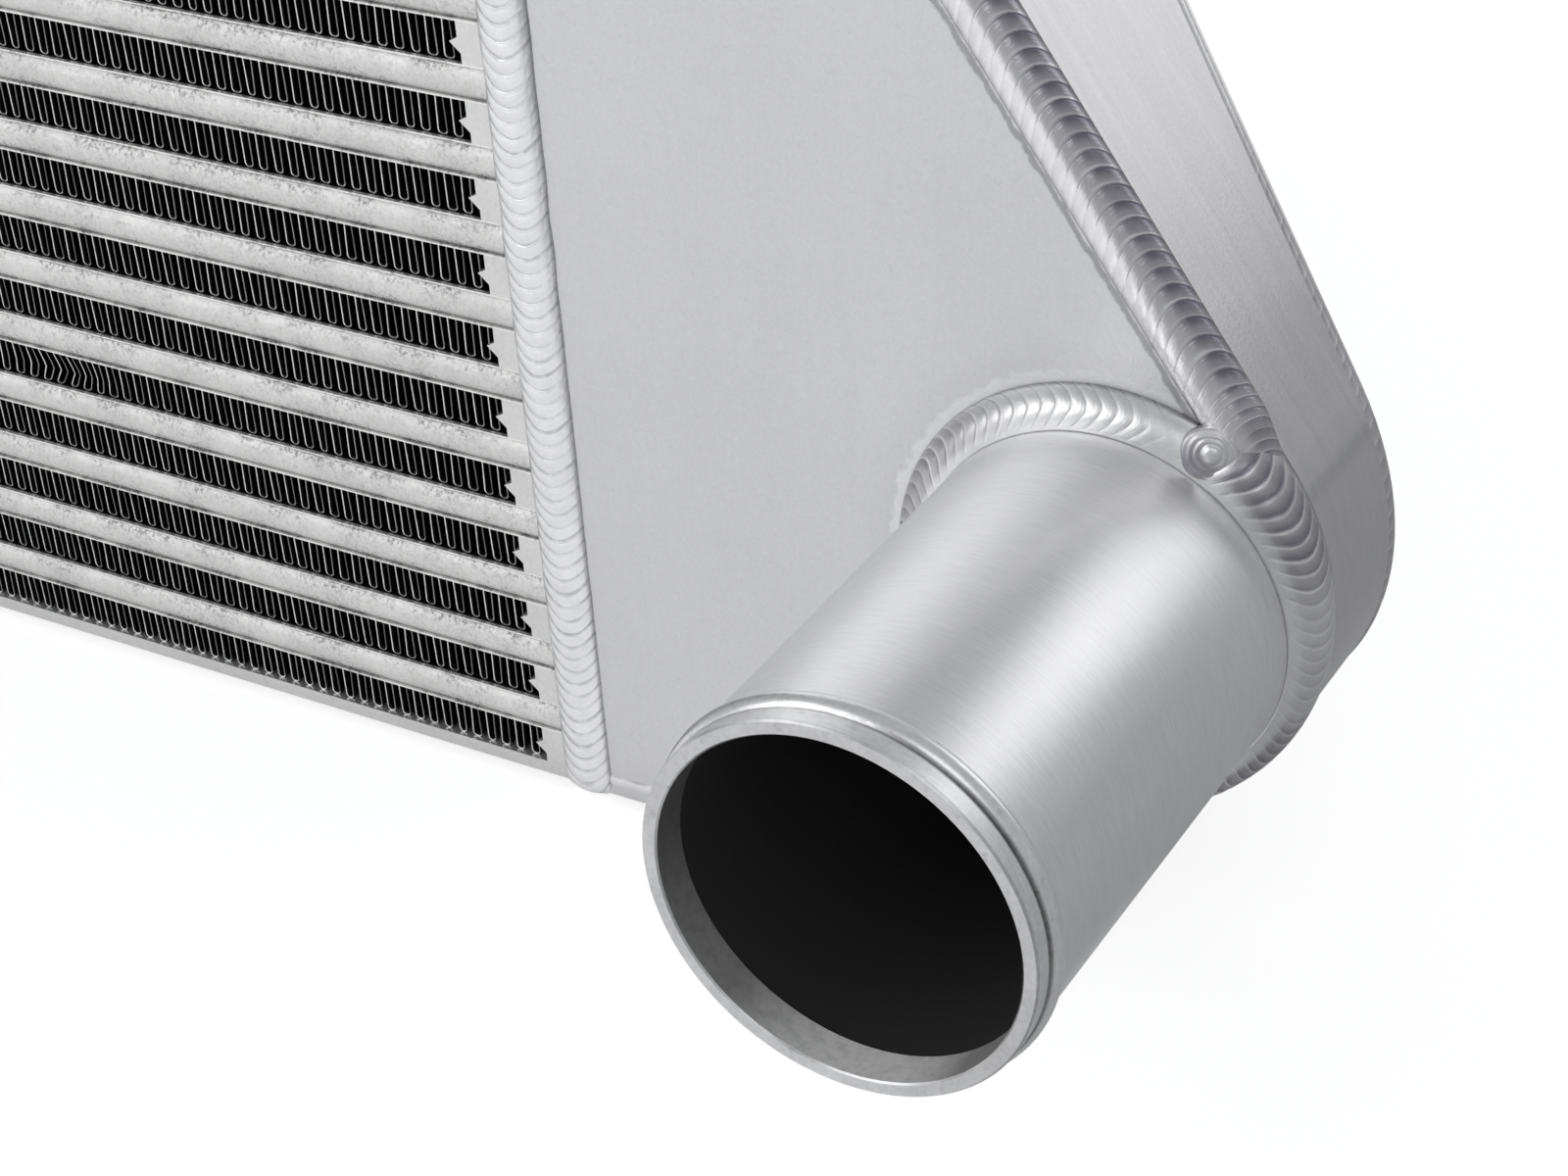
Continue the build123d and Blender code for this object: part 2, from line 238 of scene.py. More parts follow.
def make_mottle():
    """Cloudy tone of raw aluminium: broad clouds, a fine grain and sparse dark specks."""
    tree, n, given, out = new_group(
        "raw_mottle",
        [("Vector", "NodeSocketVector", None), ("Cloud Scale", "NodeSocketFloat", 60.0),
         ("Grain Scale", "NodeSocketFloat", 900.0), ("Cloud Amount", "NodeSocketFloat", 0.1),
         ("Grain Amount", "NodeSocketFloat", 0.05), ("Speck Amount", "NodeSocketFloat", 0.0)],
        [("Tone", "NodeSocketFloat"), ("Height", "NodeSocketFloat")])
    vector = given.outputs["Vector"]
    cloud = n.noise(vector, given.outputs["Cloud Scale"], 4.0)
    grain = n.noise(vector, given.outputs["Grain Scale"], 3.0)
    speck = n.remap(n.noise(vector, 420.0, 2.0, 0.6), 0.62, 0.74)
    broad = n.math("MULTIPLY", n.math("SUBTRACT", cloud, 0.5), given.outputs["Cloud Amount"])
    fine = n.math("MULTIPLY", n.math("SUBTRACT", grain, 0.5), given.outputs["Grain Amount"])
    dark = n.math("MULTIPLY", speck, given.outputs["Speck Amount"])
    total = n.math("ADD", n.math("MULTIPLY", broad, 2.0), n.math("MULTIPLY", fine, 2.0))
    n.join(n.math("SUBTRACT", n.math("ADD", total, 1.0), dark), out.inputs["Tone"])
    n.join(grain, out.inputs["Height"])
    return tree


# where a puddle's crest line lies between its two seams, and the fine rings in each puddle
CREST_PHASE = 0.80
RINGS_PER_PUDDLE = 4


def make_puddles():
    """Overlapping puddles of a weld bead: U counts the puddles along it and V runs across it from 0 to 1."""
    tree, n, given, out = new_group(
        "bead_puddles",
        [("Bead UV", "NodeSocketVector", None), ("Line Width", "NodeSocketFloat", 0.12),
         ("Fine Rings", "NodeSocketFloat", 0.15)],
        [("Height", "NodeSocketFloat"), ("Seam", "NodeSocketFloat"), ("Crest", "NodeSocketFloat"),
         ("Phase", "NodeSocketFloat")])
    along = n.split(given.outputs["Bead UV"])[0]
    wobble = n.math("MULTIPLY", n.math("SUBTRACT", n.noise(given.outputs["Bead UV"], 2.3, 3.0), 0.5), 0.34)
    place = n.math("ADD", along, wobble)
    phase = n.math("FRACT", place)
    hump = n.math("MULTIPLY", n.math("MULTIPLY", phase, n.math("SUBTRACT", 1.0, phase)), 4.0)
    rings = n.math("SINE", n.math("MULTIPLY", place, RINGS_PER_PUDDLE * 2 * math.pi))
    fine = n.math("MULTIPLY", rings, given.outputs["Fine Rings"])
    strength = n.add("ShaderNodeTexWhiteNoise", noise_dimensions="1D")
    n.join(n.math("FLOOR", n.math("ADD", place, 0.5)), strength.inputs["W"])
    varied = n.remap(strength.outputs["Value"], 0.0, 1.0, 0.45, 1.0)
    near = n.math("MINIMUM", phase, n.math("SUBTRACT", 1.0, phase))
    seam = n.math("SUBTRACT", 1.0, n.math("DIVIDE", near, given.outputs["Line Width"]), clamp=True)
    before = n.math("ABSOLUTE", n.math("SUBTRACT", phase, CREST_PHASE))
    crest = n.math("SUBTRACT", 1.0, n.math("DIVIDE", before, given.outputs["Line Width"]), clamp=True)
    n.join(n.math("ADD", n.math("POWER", hump, 0.5), n.math("MULTIPLY", fine, 0.5)), out.inputs["Height"])
    n.join(n.math("MULTIPLY", seam, varied), out.inputs["Seam"])
    n.join(n.math("MULTIPLY", crest, varied), out.inputs["Crest"])
    n.join(phase, out.inputs["Phase"])
    return tree


MOTTLE = make_mottle()
PUDDLES = make_puddles()


def metal(name, colour, roughness, metallic):
    """A Principled metal, returned with its node helper and shader node."""
    material = bpy.data.materials.new(name)
    material.use_nodes = True
    n = Nodes(material.node_tree)
    shader = material.node_tree.nodes["Principled BSDF"]
    shader.inputs["Base Color"].default_value = (*colour, 1.0)
    shader.inputs["Roughness"].default_value = roughness
    shader.inputs["Metallic"].default_value = metallic
    return material, n, shader


def mottle_over(n, vector, cloud, grain, speck, cloud_scale=60.0, grain_scale=900.0):
    """The raw mottle laid over a surface with a material's own amounts: its tone and its height."""
    mottle = n.add("ShaderNodeGroup", node_tree=MOTTLE)
    n.join(vector, mottle.inputs["Vector"])
    values = {"Cloud Amount": cloud, "Grain Amount": grain, "Speck Amount": speck,
              "Cloud Scale": cloud_scale, "Grain Scale": grain_scale}
    for label, value in values.items():
        mottle.inputs[label].default_value = value
    return mottle.outputs["Tone"], mottle.outputs["Height"]


def from_port(n, x, z):
    """How far a place lies outwards and upwards of the nearer port's axis."""
    outwards = n.math("SUBTRACT", n.math("ABSOLUTE", x), PORT_X * MM)
    return outwards, n.math("SUBTRACT", z, PORT_Z * MM)


def reach_of(n, outwards, upwards):
    """Straight distance from the port's axis."""
    squares = n.math("ADD", n.math("MULTIPLY", outwards, outwards), n.math("MULTIPLY", upwards, upwards))
    return n.math("SQRT", squares)


def towards(n, outwards, upwards, angle):
    """How far a place lies from the port's axis in one direction."""
    share = n.math("MULTIPLY", outwards, math.cos(angle))
    return n.math("ADD", share, n.math("MULTIPLY", upwards, math.sin(angle)))


def mottled_metal(name, colour, roughness, metallic, cloud, grain, speck, bump):
    """Raw metal whose tone and gloss vary in clouds."""
    material, n, shader = metal(name, colour, roughness, metallic)
    coords = n.add("ShaderNodeTexCoord")
    tone, height = mottle_over(n, coords.outputs["Object"], cloud, grain, speck)
    n.join(n.toned(colour, tone), shader.inputs["Base Color"])
    rough = n.math("ADD", n.math("MULTIPLY", n.math("SUBTRACT", 1.0, tone), 0.6), roughness, clamp=True)
    n.join(rough, shader.inputs["Roughness"])
    n.join(n.relief(height, bump, 0.3 * MM), shader.inputs["Normal"])
    return material


def inner_painted_shade(n, place_y, margin):
    """1 between the front and the rear face of the core, 0 near either face; fins and bars are painted dark
    as shade where it is 1.
    """
    behind = n.remap(place_y, (FRONT_Y + margin - 0.3) * MM, (FRONT_Y + margin + 0.4) * MM)
    before = n.remap(place_y, (REAR_Y - margin - 0.4) * MM, (REAR_Y - margin + 0.3) * MM, 1.0, 0.0)
    return n.math("MULTIPLY", behind, before)


def fin_material():
    """Foil: bright cut edges at the front and rear, with painted shade on alternate walls, and dull and
    painted near black as shade inside the folds.
    """
    material, n, shader = metal("fin_foil", (0.6, 0.6, 0.62), 0.36, 0.85)
    coords = n.add("ShaderNodeTexCoord")
    depth = n.split(coords.outputs["Object"])[1]
    facing = n.split(coords.outputs["Normal"])[1]
    cut = n.remap(n.math("ABSOLUTE", facing), 0.6, 0.8)
    # painted shade: the walls are near black, a little lighter within a few millimetres of the front and rear
    # faces
    wall = n.math("MULTIPLY", n.math("SUBTRACT", 1.0, inner_painted_shade(n, depth, 2.75)), 0.14)
    wear = n.noise(coords.outputs["Object"], 600.0, 2.0)
    # painted shade of the alternate walls, with random wear along the edges
    shade = n.add("ShaderNodeAttribute", attribute_name="painted_edge_shade")
    edge = n.math("MULTIPLY", n.remap(wear, 0.3, 0.6, 0.75, 1.0), shade.outputs["Fac"])
    bright = n.math("MULTIPLY", n.math("MAXIMUM", cut, wall), edge)
    colour = n.mix_colour(bright, (0.010, 0.011, 0.012), (0.93, 0.93, 0.94))
    n.join(colour, shader.inputs["Base Color"])
    return material


def bar_material():
    """Brazed bars: cloudy pale metal with dark flux specks along the edges, and painted black as shade
    between the faces.
    """
    material, n, shader = metal("brazed_bar", (0.66, 0.66, 0.66), 0.4, 0.85)
    coords = n.add("ShaderNodeTexCoord")
    cloudy, grain = mottle_over(n, coords.outputs["Object"], 0.14, 0.16, 0.12, 120.0, 1400.0)
    depth, height = n.split(coords.outputs["Object"])[1:]
    half = PASSAGE_HEIGHT / 2
    above = n.math("SUBTRACT", height, (BASE_Z + SIDE_PLATE + FIN_HEIGHT) * MM)
    place = n.math("MULTIPLY", n.math("FRACT", n.math("DIVIDE", above, ROW_PITCH * MM)), ROW_PITCH)
    centre = n.math("ABSOLUTE", n.math("SUBTRACT", place, half))
    rim = n.remap(centre, 0.4, half - 1.0, 0.30, 1.0)
    patches = n.remap(n.noise(coords.outputs["Object"], 110.0, 4.0, 0.62), 0.38, 0.60)
    dirt = n.remap(n.noise(coords.outputs["Object"], 1100.0, 4.0, 0.7), 0.46, 0.64)
    dark = n.math("MULTIPLY", n.math("MULTIPLY", rim, dirt), n.math("MULTIPLY", patches, 0.45))
    joint = n.math("ABSOLUTE", n.math("SUBTRACT", centre, half - SHEET_EDGE))
    line = n.math("MULTIPLY", n.remap(joint, 0.05, 0.22, 1.0, 0.0), n.math("MULTIPLY", patches, 0.30))
    lip = n.math("MULTIPLY", n.remap(centre, half - 0.42, half - 0.30), 0.22)
    tone = n.math("SUBTRACT", n.math("ADD", cloudy, lip), n.math("ADD", dark, line))
    # painted shade: black inside the core, between its front and rear faces
    painted_deep_shade = inner_painted_shade(n, depth, 1.4)
    colour = n.mix_colour(painted_deep_shade, n.toned((0.80, 0.80, 0.79), tone), (0.004, 0.004, 0.004))
    n.join(colour, shader.inputs["Base Color"])
    rough = n.math("ADD", n.math("MULTIPLY", n.math("SUBTRACT", 1.0, tone), 0.5), 0.54, clamp=True)
    n.join(n.math("MAXIMUM", rough, painted_deep_shade), shader.inputs["Roughness"])
    n.join(n.relief(n.math("SUBTRACT", grain, dark), 0.3, 0.2 * MM), shader.inputs["Normal"])
    return material


def bead_material(name, colour, roughness, seam_painted_shadow, crest_painted_highlight, line_width, ripple_depth, undercut,
                  tint_and_shade_colour=(0.22, 0.205, 0.26), flare=1.0):
    """Weld metal: puddles with painted shadow in their seams and painted highlight on their crest lines,
    plain where the ripple fades, tinted where hot, a tint that on the front bead is partly painted shade.
    """
    material, n, shader = metal(name, colour, roughness, 1.0)
    strip = n.add("ShaderNodeUVMap", uv_map="bead").outputs["UV"]
    coords = n.add("ShaderNodeTexCoord")
    ripple = n.add("ShaderNodeAttribute", attribute_name="ripple").outputs["Fac"]
    tint_and_shade = n.add("ShaderNodeAttribute", attribute_name="weld_tint_and_shade").outputs["Fac"]
    across = n.split(strip)[1]
    puddles = n.add("ShaderNodeGroup", node_tree=PUDDLES)
    n.join(strip, puddles.inputs["Bead UV"])
    # the lines widen towards one side by flare, which broadens the painted highlights and shadows there
    n.join(n.remap(across, 0.30, 0.62, line_width * flare, line_width), puddles.inputs["Line Width"])
    puddles.inputs["Fine Rings"].default_value = 0.08
    cloudy, grain = mottle_over(n, coords.outputs["Object"], 0.12, 0.06, 0.05, 200.0, 1500.0)
    blotch = n.noise(coords.outputs["Object"], 320.0, 2.0)
    patchy = n.math("MULTIPLY", ripple, n.remap(blotch, 0.30, 0.62, 0.35, 1.0))
    # painted shadow in the seams and painted highlight on the crest lines
    dark = n.math("MULTIPLY", n.math("MULTIPLY", puddles.outputs["Seam"], seam_painted_shadow), patchy)
    light = n.math("MULTIPLY", n.math("MULTIPLY", puddles.outputs["Crest"], crest_painted_highlight), ripple)
    ragged = n.math("MULTIPLY", n.math("SUBTRACT", blotch, 0.5), 0.09)
    toe = n.remap(n.math("ADD", across, ragged), 0.03, 0.12, undercut, 0.0)
    tone = n.math("SUBTRACT", n.math("ADD", n.math("SUBTRACT", cloudy, dark), light), toe)
    # the tint, partly painted shade, is strongest just past each crest line, fades towards the next, and is
    # weak on the crests
    keep = n.math("SUBTRACT", 1.0, n.math("MULTIPLY", puddles.outputs["Crest"], 0.85), clamp=True)
    after = n.math("FRACT", n.math("ADD", puddles.outputs["Phase"], 1.0 - CREST_PHASE))
    late = n.math("MULTIPLY", n.remap(after, 0.1, 1.0, 1.0, 0.62), keep)
    uneven = n.remap(blotch, 0.25, 0.6, 0.85, 1.0)
    tint = n.math("MULTIPLY", n.math("MULTIPLY", tint_and_shade, late), uneven, clamp=True)
    n.join(n.mix_colour(tint, n.toned(colour, tone), tint_and_shade_colour), shader.inputs["Base Color"])
    rippled = n.relief(n.math("MULTIPLY", puddles.outputs["Height"], ripple), 0.8, ripple_depth * MM)
    n.join(n.relief(grain, 0.15, 0.2 * MM, rippled), shader.inputs["Normal"])
    return material


# what welding left on the front sheet: the halo's and the etching's radii round the port with the widths over
# which they fade, how ragged their edges are, and how far inside the sloping edge the undercut runs
HALO_RADIUS, HALO_FADE = 47.0, 1.2
ETCH_RADIUS, ETCH_FADE = 48.0, 8.0
RAGGED_EDGE = 4.5
UNDERCUT_INSET = 9.0

# rolled sheet: how drawn out its streaks are, and how far up the wall its brushed stretch starts
STREAK_STRETCH = 0.05
BRUSHED_FROM, BRUSHED_FADE = 46.0, 10.0


def weld_marks(n, outwards, upwards, depth, ragged):
    """What welding left on the front sheet: a pale halo round the port, and dark etching and undercut."""
    front = n.remap(depth, 8.0 * MM, 12.0 * MM, 1.0, 0.0)
    reach = n.math("ADD", reach_of(n, outwards, upwards), ragged)
    halo = n.remap(reach, HALO_RADIUS * MM, (HALO_RADIUS + HALO_FADE) * MM, 1.0, 0.0)
    etched = n.remap(reach, ETCH_RADIUS * MM, (ETCH_RADIUS + ETCH_FADE) * MM, 1.0, 0.0)
    wall = n.math("ADD", towards(n, outwards, upwards, SLOPE), n.math("MULTIPLY", ragged, 0.5))
    inset = n.math("SUBTRACT", SLOPE_REACH * MM, wall)
    beside = n.math("ABSOLUTE", n.math("SUBTRACT", inset, UNDERCUT_INSET * MM))
    undercut = n.remap(beside, 0.3 * MM, 1.0 * MM, 0.42, 0.0)
    dark = n.math("ADD", n.math("MULTIPLY", etched, 0.05), undercut)
    return n.math("MULTIPLY", halo, front), n.math("MULTIPLY", dark, front)


def sheet_material(name, colour, roughness, lean, streak_amount, bump, frosted):
    """Satin sheet with rolling streaks that lean from the vertical; a frosted one shows what welding left."""
    material, n, shader = metal(name, colour, roughness, 0.95)
    coords = n.add("ShaderNodeTexCoord")
    side, depth, height = n.split(coords.outputs["Object"])
    outwards, upwards = from_port(n, side, height)
    along = towards(n, outwards, upwards, lean + math.pi / 2)
    rolled = n.add("ShaderNodeCombineXYZ")
    n.join(towards(n, outwards, upwards, lean), rolled.inputs["X"])
    n.join(depth, rolled.inputs["Y"])
    n.join(n.math("MULTIPLY", along, STREAK_STRETCH), rolled.inputs["Z"])
    cloudy, grain = mottle_over(n, coords.outputs["Object"], 0.05, 0.07, 0.03, 16.0, 1500.0)
    streak = n.math("SUBTRACT", n.noise(rolled.outputs[0], 420.0, 5.0, 0.62), 0.5)
    streak = n.math("MULTIPLY", streak, streak_amount)
    tone = n.math("ADD", cloudy, streak)
    worn = n.math("ADD", n.math("MULTIPLY", streak, 0.6 if frosted else 0.1), roughness, clamp=True)
    if frosted:
        ragged = n.math("SUBTRACT", n.noise(coords.outputs["Object"], 300.0, 4.0, 0.6), 0.5)
        ragged = n.math("MULTIPLY", ragged, RAGGED_EDGE * MM)
        halo, dark = weld_marks(n, outwards, upwards, depth, ragged)
        tone = n.math("SUBTRACT", n.math("ADD", tone, n.math("MULTIPLY", halo, 0.20)), dark)
        worn = n.math("ADD", n.math("MULTIPLY", halo, 0.15), worn)
    else:
        slanted = n.math("ADD", along, n.math("MULTIPLY", depth, 0.45))
        brushed = n.remap(slanted, BRUSHED_FROM * MM, (BRUSHED_FROM + BRUSHED_FADE) * MM)
        worn = n.math("ADD", n.math("MULTIPLY", brushed, 0.06), worn)
    n.join(n.toned(colour, tone), shader.inputs["Base Color"])
    n.join(worn, shader.inputs["Roughness"])
    n.join(n.relief(n.math("ADD", grain, streak), bump, 0.2 * MM), shader.inputs["Normal"])
    return material


# turned tube: its marks are fine along the axis and drawn out round it; its gloss fades between two places
TURNING_STRETCH = (0.40, 5.2, 0.40)
ROOT_FADE = (-60.0, 4.0)


def tube_material():
    """Turned tube: fine marks round it with painted shade in the groove round it, a dull land inside the
    mouth with painted light that is palest low down, and a bore behind it painted black as shade.
    """
    material, n, shader = metal("turned_tube", (0.84, 0.84, 0.85), 0.24, 1.0)
    coords = n.add("ShaderNodeTexCoord")
    side, depth, height = n.split(coords.outputs["Object"])
    outwards, upwards = from_port(n, side, height)
    turned = n.add("ShaderNodeMapping")
    turned.inputs["Scale"].default_value = TURNING_STRETCH
    n.join(coords.outputs["Object"], turned.inputs["Vector"])
    marks = n.math("SUBTRACT", n.noise(turned.outputs["Vector"], 380.0, 3.0, 0.55), 0.5)
    cloudy = mottle_over(n, coords.outputs["Object"], 0.10, 0.12, 0.10, 90.0, 900.0)[0]

    # masks: the land and the bore are inside the mouth, and the groove runs round the tube outside, with
    # painted shade in it
    within = n.remap(reach_of(n, outwards, upwards), (PORT_BORE + 0.8) * MM, (PORT_BORE + 1.1) * MM, 1.0, 0.0)
    inside = n.math("MULTIPLY", within, n.remap(depth, (MOUTH_Y + 0.25) * MM, (MOUTH_Y + 0.45) * MM))
    painted_deep_shade = n.math("MULTIPLY", inside, n.remap(depth, LAND_Y * MM, (LAND_Y + 0.5) * MM))
    lip = n.remap(depth, (LAND_Y + 0.5) * MM, (LAND_Y - 1.5) * MM)
    groove = n.math("ABSOLUTE", n.math("SUBTRACT", depth, GROOVE_Y * MM))
    # painted shade in the groove, stronger towards the outer side
    painted_shade_outwards = n.remap(outwards, -5.0 * MM, 28.0 * MM, 0.15, 0.70)
    groove = n.math("MULTIPLY", n.remap(groove, 0.3 * MM, 0.8 * MM, 1.0, 0.0), painted_shade_outwards)

    # outside: bright metal, duller on the lip's end face
    worn = n.math("MULTIPLY", n.math("SUBTRACT", cloudy, 1.0), n.math("ADD", lip, 0.15))
    dull = n.remap(depth, (MOUTH_Y + 0.35) * MM, (MOUTH_Y + 0.65) * MM, 0.74, 1.0)
    tone = n.math("ADD", n.math("MULTIPLY", marks, 0.24), dull)
    tone = n.math("ADD", tone, n.math("SUBTRACT", worn, groove))

    # inside: a grey land with painted light, paler towards its lowest point and darker up its sides, and a
    # bore painted black as shade
    dirt = n.remap(n.noise(coords.outputs["Object"], 420.0, 4.0, 0.7), 0.30, 0.60, 0.80, 1.0)
    # painted light: palest at the land's lowest point, darker higher up its sides
    lowest = n.remap(upwards, -35.5 * MM, -25.5 * MM, 0.60, 0.0)
    painted_light_by_height = n.math("ADD", lowest, n.remap(upwards, -26.0 * MM, 8.0 * MM, 0.40, 0.16))
    grey = n.toned((1.0, 1.0, 0.99), n.math("MULTIPLY", dirt, painted_light_by_height))
    land = n.mix_colour(inside, n.toned((0.86, 0.86, 0.87), tone), grey)
    # painted shade: the bore beyond the land is black
    n.join(n.mix_colour(painted_deep_shade, land, (0.045, 0.045, 0.047)), shader.inputs["Base Color"])
    n.join(n.math("SUBTRACT", 1.0, n.math("MULTIPLY", inside, 0.97)), shader.inputs["Metallic"])

    # the gloss fades from the mouth towards the root
    root = n.remap(depth, ROOT_FADE[0] * MM, ROOT_FADE[1] * MM, 0.30, 0.40)
    rough = n.math("ADD", n.math("MULTIPLY", marks, 0.05), root)
    rough = n.math("ADD", n.math("MULTIPLY", inside, 0.22), rough, clamp=True)
    n.join(rough, shader.inputs["Roughness"])
    n.join(n.relief(marks, 0.14, 0.1 * MM), shader.inputs["Normal"])
    return material


FINS = fin_material()
BARS = bar_material()
PLATES = mottled_metal("bar_end_metal", (0.80, 0.80, 0.795), 0.42, 0.85,
                       cloud=0.10, grain=0.10, speck=0.05, bump=0.3)
SHEET = sheet_material("satin_sheet", (0.72, 0.72, 0.73), 0.40, lean=0.0, streak_amount=0.05, bump=0.3,
                       frosted=True)
WRAP = sheet_material("rolled_sheet", (0.62, 0.615, 0.63), 0.17, lean=SLOPE, streak_amount=0.26, bump=0.05,
                      frosted=False)
TUBE = tube_material()
CORE_BEAD = bead_material("core_weld_metal", (0.90, 0.90, 0.91), 0.34, seam_painted_shadow=0.42, crest_painted_highlight=0.06,
                          line_width=0.22, ripple_depth=0.20, undercut=0.24)
EDGE_BEAD = bead_material("edge_weld_metal", (0.86, 0.855, 0.88), 0.28, seam_painted_shadow=0.08, crest_painted_highlight=0.16,
                          line_width=0.10, ripple_depth=0.10, undercut=0.45,
                          tint_and_shade_colour=(0.17, 0.16, 0.21), flare=3.0)
RING_BEAD = bead_material("ring_weld_metal", (0.84, 0.84, 0.85), 0.37, seam_painted_shadow=0.30, crest_painted_highlight=0.19,
                          line_width=0.13, ripple_depth=0.14, undercut=0.50, tint_and_shade_colour=(0.19, 0.18, 0.23))
REAR_BEAD = bead_material("rear_weld_metal", (0.80, 0.80, 0.81), 0.34, seam_painted_shadow=0.25, crest_painted_highlight=0.14,
                          line_width=0.16, ripple_depth=0.08, undercut=0.40)


# ---- folded fins -------------------------------------------------------------------------------
# strip: spacing of its walls, foil, radius and steps of its crests, and the gap left at each end of a row
WALL_SPACING = 2.0
FOIL = 0.29
CREST_RADIUS = 0.84
CREST_STEPS = 4
FIN_END_GAP = 0.4

# the row that something has knocked, the dent's middle, width, push, height in the row and depth, and the
# depths at which its strip has points
KNOCKED_ROW = 5
KNOCK_X = 141.5
KNOCK_WIDTH = 11.0
KNOCK_PUSH = 2.3
KNOCK_HEIGHT = 0.45
KNOCK_DEPTH = 4.0
BENT_DEPTHS = (0.0, 0.8, 2.0, 4.0, 8.0, 14.0)


def fold_line(low_x, high_x, low_z, high_z, rng, wall_steps):
    """Centre line of a square-wave strip with rounded corners, as (x, z, painted edge shade), darker on
    alternate walls.
    """
    walls = round((high_x - low_x) / WALL_SPACING)
    pitch = (high_x - low_x) / walls
    bottom, top = low_z + FOIL / 2, high_z - FOIL / 2
    points = []
    for wall in range(walls):
        x = low_x + (wall + 0.5) * pitch + rng.uniform(-0.12, 0.12)
        lean = rng.uniform(-0.14, 0.14)
        up = wall % 2 == 0
        start, end = (bottom, top) if up else (top, bottom)
        sign = 1 if up else -1
        # painted shade: every other wall is darker
        shade = rng.uniform(0.16, 0.42) if up else rng.uniform(0.88, 1.0)
        for step in range(CREST_STEPS + 1):
            share = step / CREST_STEPS
            turn = math.pi / 2 * share
            points.append((x - lean - CREST_RADIUS * (1 - math.sin(turn)),
                           start + sign * CREST_RADIUS * (1 - math.cos(turn)), 1.0 - (1 - shade) * share))
        for step in range(1, wall_steps):
            share = step / wall_steps
            points.append((x - lean + 2 * lean * share,
                           start + sign * (CREST_RADIUS + (top - bottom - 2 * CREST_RADIUS) * share), shade))
        for step in range(CREST_STEPS + 1):
            share = step / CREST_STEPS
            turn = math.pi / 2 * share
            points.append((x + lean + CREST_RADIUS * (1 - math.cos(turn)),
                           end - sign * CREST_RADIUS * (1 - math.sin(turn)), 1.0 - (1 - shade) * (1 - share)))
    return points


def knocked_over(x, depth, share):
    """Sideways push of the fins that something has bent, most at mid height and at the front."""
    strength = KNOCK_PUSH * math.exp(-((x - KNOCK_X) / KNOCK_WIDTH) ** 2)
    kink = share / KNOCK_HEIGHT if share < KNOCK_HEIGHT else (1 - share) / (1 - KNOCK_HEIGHT)
    return strength * max(0.0, kink) * math.exp(-depth / KNOCK_DEPTH)


def fin_strip(row, bent=False):
    """One folded strip, in the room that its CAD node has."""
    low, high = (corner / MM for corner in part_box(f"fin_row_{row:02d}"))
    rng = random.Random(100 + row)
    line = fold_line(low.x + FIN_END_GAP, high.x - FIN_END_GAP, low.z, high.z, rng, 5 if bent else 1)
    depths = [low.y + depth for depth in (BENT_DEPTHS if bent else (0.0,))] + [high.y]
    count = len(line)
    sides = []
    for i in range(count):
        ahead, behind = line[min(i + 1, count - 1)], line[max(i - 1, 0)]
        dx, dz = ahead[0] - behind[0], ahead[1] - behind[1]
        length = math.hypot(dx, dz)
        sides.append((-dz / length * FOIL / 2, dx / length * FOIL / 2))
    verts, shades = [], []
    for y in depths:
        for (x, z, shade), (ox, oz) in zip(line, sides):
            for sign in (1, -1):
                px, pz = x + sign * ox, z + sign * oz
                if bent:
                    px += knocked_over(px, y - low.y, (pz - low.z) / (high.z - low.z))
                verts.append((px, y, min(max(pz, low.z), high.z)))
                shades.append(shade)
    faces = []
    ring = 2 * count
    for d in range(len(depths) - 1):
        a, b = d * ring, (d + 1) * ring
        for i in range(count - 1):
            faces.append((a + 2 * i, a + 2 * i + 2, b + 2 * i + 2, b + 2 * i))
            faces.append((a + 2 * i + 3, a + 2 * i + 1, b + 2 * i + 1, b + 2 * i + 3))
        faces.append((a + 1, a, b, b + 1))
        faces.append((a + ring - 2, a + ring - 1, b + ring - 1, b + ring - 2))
    last = (len(depths) - 1) * ring
    for i in range(count - 1):
        faces.append((2 * i + 1, 2 * i + 3, 2 * i + 2, 2 * i))
        faces.append((last + 2 * i, last + 2 * i + 2, last + 2 * i + 3, last + 2 * i + 1))
    piece = mesh_piece(f"folded_fins_{row:02d}", verts, faces, smooth=False)
    paint(piece, "painted_edge_shade", shades)
    finish_piece(piece, FINS, "cooling_fins", f"fin_row_{row:02d}")


for row in range(1, FIN_ROWS + 1):
    fin_strip(row, bent=(row == KNOCKED_ROW))


# ---- tank outline ------------------------------------------------------------------------------
def corner_arc(before, corner, after, radius):
    """Centre, start and end of the arc that rounds a corner."""
    a = (Vector(before) - Vector(corner)).normalized()
    b = (Vector(after) - Vector(corner)).normalized()
    half = a.angle(b) / 2
    centre = Vector(corner) + (a + b).normalized() * radius / math.sin(half)
    start = Vector(corner) + a * radius / math.tan(half)
    end = Vector(corner) + b * radius / math.tan(half)
    return centre, start, end


